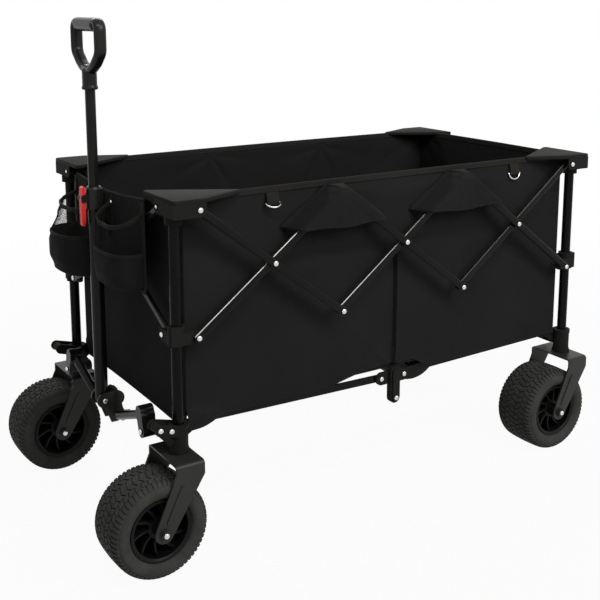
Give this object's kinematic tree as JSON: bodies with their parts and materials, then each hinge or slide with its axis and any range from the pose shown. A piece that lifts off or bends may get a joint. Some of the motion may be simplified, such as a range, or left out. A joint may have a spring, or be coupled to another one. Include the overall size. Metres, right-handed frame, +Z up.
{
  "type": "folding camp wagon",
  "caption": "Collapsible pull-along camp wagon: scissor-bar frame on wide wheels, deep fabric tub, front pouches and a telescoping pull handle.",
  "frame": {"origin": "on the ground, amid the four wheels", "axes": "+Z up, the pull handle at -X, the right side at -Y"},
  "size_m": [1.13, 0.6162, 0.948],
  "materials": {
    "post_steel": "gloss black powder coat on steel tube",
    "bar_steel": "gloss black paint on flat oval steel tube",
    "fork_steel": "gloss black paint on pressed steel",
    "handle_steel": "gloss black paint on steel tube",
    "moulding": "satin black nylon moulding",
    "grip_plastic": "satin black moulding",
    "lever_plastic": "red moulding",
    "rim_plastic": "satin black moulding",
    "tyre": "black tread compound",
    "ring_steel": "bright plated wire",
    "fabric": "black woven polyester"
  },
  "bodies": {
    "post_fr_body": {"post_fr": "post_steel", "corner_fr": "moulding", "tub": "fabric", "floor_board": "fabric", "pouches": "fabric", "tie_rings": "ring_steel"},
    "post_fl_body": {"post_fl": "post_steel", "corner_fl": "moulding"},
    "post_rr_body": {"post_rr": "post_steel", "corner_rr": "moulding", "fork_rr": "fork_steel"},
    "post_rl_body": {"post_rl": "post_steel", "corner_rl": "moulding", "fork_rl": "fork_steel"},
    "scissor_r1": {"bar_r1": "bar_steel"},
    "scissor_r2": {"bar_r2": "bar_steel"},
    "scissor_r4": {"bar_r4": "bar_steel"},
    "scissor_r3": {"bar_r3": "bar_steel"},
    "scissor_r5": {"bar_r5": "bar_steel"},
    "scissor_r6": {"bar_r6": "bar_steel"},
    "slider_fr_body": {"slider_fr": "moulding"},
    "slider_rr_body": {"slider_rr": "moulding"},
    "floor_link_fr_body": {"floor_link_fr": "bar_steel"},
    "side_hub_r_body": {"side_hub_r": "moulding"},
    "floor_link_rr_body": {"floor_link_rr": "bar_steel"},
    "scissor_l1": {"bar_l1": "bar_steel"},
    "scissor_l2": {"bar_l2": "bar_steel"},
    "scissor_l4": {"bar_l4": "bar_steel"},
    "scissor_l3": {"bar_l3": "bar_steel"},
    "scissor_l5": {"bar_l5": "bar_steel"},
    "scissor_l6": {"bar_l6": "bar_steel"},
    "slider_fl_body": {"slider_fl": "moulding"},
    "slider_rl_body": {"slider_rl": "moulding"},
    "floor_link_fl_body": {"floor_link_fl": "bar_steel"},
    "side_hub_l_body": {"side_hub_l": "moulding"},
    "floor_link_rl_body": {"floor_link_rl": "bar_steel"},
    "front_bar_a_body": {"front_bar_a": "bar_steel"},
    "front_bar_b_body": {"front_bar_b": "bar_steel"},
    "rear_bar_a_body": {"rear_bar_a": "bar_steel"},
    "rear_bar_b_body": {"rear_bar_b": "bar_steel"},
    "front_link_r_body": {"front_link_r": "bar_steel"},
    "handle_bracket_body": {"handle_bracket": "fork_steel"},
    "front_link_l_body": {"front_link_l": "bar_steel"},
    "rear_link_r_body": {"rear_link_r": "bar_steel"},
    "rear_link_l_body": {"rear_link_l": "bar_steel"},
    "caster_fr": {"fork_fr": "fork_steel"},
    "wheel_fr": {"rim_fr": "rim_plastic", "tyre_fr": "tyre"},
    "wheel_rr": {"rim_rr": "rim_plastic", "tyre_rr": "tyre"},
    "caster_fl": {"fork_fl": "fork_steel"},
    "wheel_fl": {"rim_fl": "rim_plastic", "tyre_fl": "tyre"},
    "wheel_rl": {"rim_rl": "rim_plastic", "tyre_rl": "tyre"},
    "handle": {"handle_tube": "handle_steel", "handle_collar": "grip_plastic"},
    "lock_lever_body": {"lock_lever": "lever_plastic"},
    "handle_upper": {"handle_slide": "handle_steel", "handle_grip": "grip_plastic"}
  },
  "joints": [
    {"name": "fold", "type": "hinge", "parent": "post_fr_body", "child": "scissor_r1", "pos_m": [-0.387, -0.265, 0.636], "axis": [0, 1, 0], "range_deg": [0, 39.7], "deforming": ["tub", "floor_board", "pouches", "tie_rings"]},
    {"name": "scissor_r2_turn", "type": "hinge", "parent": "scissor_r1", "child": "scissor_r2", "pos_m": [-0.23933, -0.265, 0.5235], "axis": [0, 1, 0], "range_deg": [-80, 0.6]},
    {"name": "scissor_r4_turn", "type": "hinge", "parent": "scissor_r1", "child": "scissor_r4", "pos_m": [-0.09167, -0.265, 0.411], "axis": [0, 1, 0], "range_deg": [-80, 0.6]},
    {"name": "scissor_r3_turn", "type": "hinge", "parent": "scissor_r4", "child": "scissor_r3", "pos_m": [0.056, -0.265, 0.5235], "axis": [0, 1, 0], "range_deg": [-0.6, 80]},
    {"name": "scissor_r5_turn", "type": "hinge", "parent": "scissor_r4", "child": "scissor_r5", "pos_m": [0.20367, -0.265, 0.636], "axis": [0, 1, 0], "range_deg": [-0.6, 80]},
    {"name": "scissor_r6_turn", "type": "hinge", "parent": "scissor_r5", "child": "scissor_r6", "pos_m": [0.35133, -0.265, 0.5235], "axis": [0, 1, 0], "range_deg": [-80, 0.6]},
    {"name": "rear_post_r_turn", "type": "hinge", "parent": "scissor_r6", "child": "post_rr_body", "pos_m": [0.499, -0.265, 0.636], "axis": [0, 1, 0], "range_deg": [-0.6, 40.3]},
    {"name": "slider_fr_turn", "type": "hinge", "parent": "scissor_r2", "child": "slider_fr_body", "pos_m": [-0.387, -0.265, 0.411], "axis": [0, 1, 0], "range_deg": [-0.6, 40.3]},
    {"name": "slider_rr_turn", "type": "hinge", "parent": "scissor_r5", "child": "slider_rr_body", "pos_m": [0.499, -0.265, 0.411], "axis": [0, 1, 0], "range_deg": [-40.3, 0.6]},
    {"name": "floor_link_fr_turn", "type": "hinge", "parent": "post_fr_body", "child": "floor_link_fr_body", "pos_m": [-0.365, -0.235, 0.249], "axis": [0, -1, 0], "range_deg": [-0.6, 80.72]},
    {"name": "side_hub_r_turn", "type": "hinge", "parent": "floor_link_fr_body", "child": "side_hub_r_body", "pos_m": [0.028, -0.235, 0.241], "axis": [0, -1, 0], "range_deg": [-80.72, 0.6]},
    {"name": "floor_link_rr_turn", "type": "hinge", "parent": "post_rr_body", "child": "floor_link_rr_body", "pos_m": [0.477, -0.235, 0.249], "axis": [0, 1, 0], "range_deg": [-0.6, 80.72]},
    {"name": "scissor_l1_turn", "type": "hinge", "parent": "post_fl_body", "child": "scissor_l1", "pos_m": [-0.387, 0.265, 0.636], "axis": [0, 1, 0], "range_deg": [-0.6, 40.3]},
    {"name": "scissor_l2_turn", "type": "hinge", "parent": "scissor_l1", "child": "scissor_l2", "pos_m": [-0.23933, 0.265, 0.5235], "axis": [0, 1, 0], "range_deg": [-80, 0.6]},
    {"name": "scissor_l4_turn", "type": "hinge", "parent": "scissor_l1", "child": "scissor_l4", "pos_m": [-0.09167, 0.265, 0.411], "axis": [0, 1, 0], "range_deg": [-80, 0.6]},
    {"name": "scissor_l3_turn", "type": "hinge", "parent": "scissor_l4", "child": "scissor_l3", "pos_m": [0.056, 0.265, 0.5235], "axis": [0, 1, 0], "range_deg": [-0.6, 80]},
    {"name": "scissor_l5_turn", "type": "hinge", "parent": "scissor_l4", "child": "scissor_l5", "pos_m": [0.20367, 0.265, 0.636], "axis": [0, 1, 0], "range_deg": [-0.6, 80]},
    {"name": "scissor_l6_turn", "type": "hinge", "parent": "scissor_l5", "child": "scissor_l6", "pos_m": [0.35133, 0.265, 0.5235], "axis": [0, 1, 0], "range_deg": [-80, 0.6]},
    {"name": "rear_post_l_turn", "type": "hinge", "parent": "scissor_l6", "child": "post_rl_body", "pos_m": [0.499, 0.265, 0.636], "axis": [0, 1, 0], "range_deg": [-0.6, 40.3]},
    {"name": "slider_fl_turn", "type": "hinge", "parent": "scissor_l2", "child": "slider_fl_body", "pos_m": [-0.387, 0.265, 0.411], "axis": [0, 1, 0], "range_deg": [-0.6, 40.3]},
    {"name": "slider_rl_turn", "type": "hinge", "parent": "scissor_l5", "child": "slider_rl_body", "pos_m": [0.499, 0.265, 0.411], "axis": [0, 1, 0], "range_deg": [-40.3, 0.6]},
    {"name": "floor_link_fl_turn", "type": "hinge", "parent": "post_fl_body", "child": "floor_link_fl_body", "pos_m": [-0.365, 0.235, 0.249], "axis": [0, -1, 0], "range_deg": [-0.6, 80.72]},
    {"name": "side_hub_l_turn", "type": "hinge", "parent": "floor_link_fl_body", "child": "side_hub_l_body", "pos_m": [0.028, 0.235, 0.241], "axis": [0, -1, 0], "range_deg": [-80.72, 0.6]},
    {"name": "floor_link_rl_turn", "type": "hinge", "parent": "post_rl_body", "child": "floor_link_rl_body", "pos_m": [0.477, 0.235, 0.249], "axis": [0, 1, 0], "range_deg": [-0.6, 80.72]},
    {"name": "front_bar_a_turn", "type": "hinge", "parent": "post_fr_body", "child": "front_bar_a_body", "pos_m": [-0.419, -0.215, 0.636], "axis": [-1, 0, 0], "range_deg": [-0.6, 21.18]},
    {"name": "front_bar_b_turn", "type": "hinge", "parent": "front_bar_a_body", "child": "front_bar_b_body", "pos_m": [-0.419, 0, 0.5235], "axis": [-1, 0, 0], "range_deg": [-41.75, 0.6]},
    {"name": "post_fl_turn", "type": "hinge", "parent": "front_bar_b_body", "child": "post_fl_body", "pos_m": [-0.419, 0.215, 0.636], "axis": [-1, 0, 0], "range_deg": [-0.6, 21.18]},
    {"name": "rear_bar_a_turn", "type": "hinge", "parent": "post_rr_body", "child": "rear_bar_a_body", "pos_m": [0.531, -0.215, 0.636], "axis": [-1, 0, 0], "range_deg": [-0.6, 21.18]},
    {"name": "rear_bar_b_turn", "type": "hinge", "parent": "rear_bar_a_body", "child": "rear_bar_b_body", "pos_m": [0.531, 0, 0.5235], "axis": [-1, 0, 0], "range_deg": [-41.75, 0.6]},
    {"name": "front_link_r_turn", "type": "hinge", "parent": "post_fr_body", "child": "front_link_r_body", "pos_m": [-0.419, -0.185, 0.228], "axis": [-1, 0, 0], "range_deg": [-0.6, 42.7]},
    {"name": "handle_bracket_turn", "type": "hinge", "parent": "front_link_r_body", "child": "handle_bracket_body", "pos_m": [-0.419, -0.041, 0.204], "axis": [-1, 0, 0], "range_deg": [-42.7, 0.6]},
    {"name": "front_link_l_turn", "type": "hinge", "parent": "post_fl_body", "child": "front_link_l_body", "pos_m": [-0.419, 0.185, 0.228], "axis": [1, 0, 0], "range_deg": [-0.6, 42.7]},
    {"name": "rear_link_r_turn", "type": "hinge", "parent": "post_rr_body", "child": "rear_link_r_body", "pos_m": [0.531, -0.185, 0.228], "axis": [-1, 0, 0], "range_deg": [-0.6, 38.28]},
    {"name": "rear_link_l_turn", "type": "hinge", "parent": "post_rl_body", "child": "rear_link_l_body", "pos_m": [0.531, 0.185, 0.228], "axis": [1, 0, 0], "range_deg": [-0.6, 38.28]},
    {"name": "caster_fr_swivel", "type": "hinge", "parent": "post_fr_body", "child": "caster_fr", "pos_m": [-0.419, -0.245, 0.205], "axis": [0, 0, 1], "continuous": true},
    {"name": "wheel_fr_spin", "type": "hinge", "parent": "caster_fr", "child": "wheel_fr", "pos_m": [-0.475, -0.245, 0.09], "axis": [0, 1, 0], "continuous": true},
    {"name": "wheel_rr_spin", "type": "hinge", "parent": "post_rr_body", "child": "wheel_rr", "pos_m": [0.475, -0.245, 0.09], "axis": [0, 1, 0], "continuous": true},
    {"name": "caster_fl_swivel", "type": "hinge", "parent": "post_fl_body", "child": "caster_fl", "pos_m": [-0.419, 0.245, 0.205], "axis": [0, 0, 1], "continuous": true},
    {"name": "wheel_fl_spin", "type": "hinge", "parent": "caster_fl", "child": "wheel_fl", "pos_m": [-0.475, 0.245, 0.09], "axis": [0, 1, 0], "continuous": true},
    {"name": "wheel_rl_spin", "type": "hinge", "parent": "post_rl_body", "child": "wheel_rl", "pos_m": [0.475, 0.245, 0.09], "axis": [0, 1, 0], "continuous": true},
    {"name": "handle_tilt", "type": "hinge", "parent": "handle_bracket_body", "child": "handle", "pos_m": [-0.462, 0, 0.228], "axis": [0, -1, 0], "range_deg": [0, 100]},
    {"name": "lever_press", "type": "hinge", "parent": "handle", "child": "lock_lever_body", "pos_m": [-0.4835, 0, 0.621], "axis": [0, -1, 0], "range_deg": [0, 7], "stiffness_Nm_per_rad": 0.6},
    {"name": "handle_telescope", "type": "slide", "parent": "handle", "child": "handle_upper", "axis": [0, 0, 1], "range_m": [-0.165, 0.12]}
  ],
  "couplings": [
    {"joint": "scissor_r2_turn", "follows": "fold", "ratio": -2},
    {"joint": "scissor_r4_turn", "follows": "fold", "ratio": -2},
    {"joint": "scissor_r3_turn", "follows": "fold", "ratio": 2},
    {"joint": "scissor_r5_turn", "follows": "fold", "ratio": 2},
    {"joint": "scissor_r6_turn", "follows": "fold", "ratio": -2},
    {"joint": "rear_post_r_turn", "follows": "fold", "ratio": 1},
    {"joint": "slider_fr_turn", "follows": "fold", "ratio": 1},
    {"joint": "slider_rr_turn", "follows": "fold", "ratio": -1},
    {"joint": "floor_link_fr_turn", "follows": "fold", "ratio": 2.0184},
    {"joint": "side_hub_r_turn", "follows": "fold", "ratio": -2.0184},
    {"joint": "floor_link_rr_turn", "follows": "fold", "ratio": 2.0184},
    {"joint": "scissor_l1_turn", "follows": "fold", "ratio": 1},
    {"joint": "scissor_l2_turn", "follows": "fold", "ratio": -2},
    {"joint": "scissor_l4_turn", "follows": "fold", "ratio": -2},
    {"joint": "scissor_l3_turn", "follows": "fold", "ratio": 2},
    {"joint": "scissor_l5_turn", "follows": "fold", "ratio": 2},
    {"joint": "scissor_l6_turn", "follows": "fold", "ratio": -2},
    {"joint": "rear_post_l_turn", "follows": "fold", "ratio": 1},
    {"joint": "slider_fl_turn", "follows": "fold", "ratio": 1},
    {"joint": "slider_rl_turn", "follows": "fold", "ratio": -1},
    {"joint": "floor_link_fl_turn", "follows": "fold", "ratio": 2.0184},
    {"joint": "side_hub_l_turn", "follows": "fold", "ratio": -2.0184},
    {"joint": "floor_link_rl_turn", "follows": "fold", "ratio": 2.0184},
    {"joint": "front_bar_a_turn", "follows": "fold", "ratio": 0.51828},
    {"joint": "front_bar_b_turn", "follows": "fold", "ratio": -1.0366},
    {"joint": "post_fl_turn", "follows": "fold", "ratio": 0.51828},
    {"joint": "rear_bar_a_turn", "follows": "fold", "ratio": 0.51828},
    {"joint": "rear_bar_b_turn", "follows": "fold", "ratio": -1.0366},
    {"joint": "front_link_r_turn", "follows": "fold", "ratio": 1.0605},
    {"joint": "handle_bracket_turn", "follows": "fold", "ratio": -1.0605},
    {"joint": "front_link_l_turn", "follows": "fold", "ratio": 1.0605},
    {"joint": "rear_link_r_turn", "follows": "fold", "ratio": 0.94911},
    {"joint": "rear_link_l_turn", "follows": "fold", "ratio": 0.94911}
  ]
}
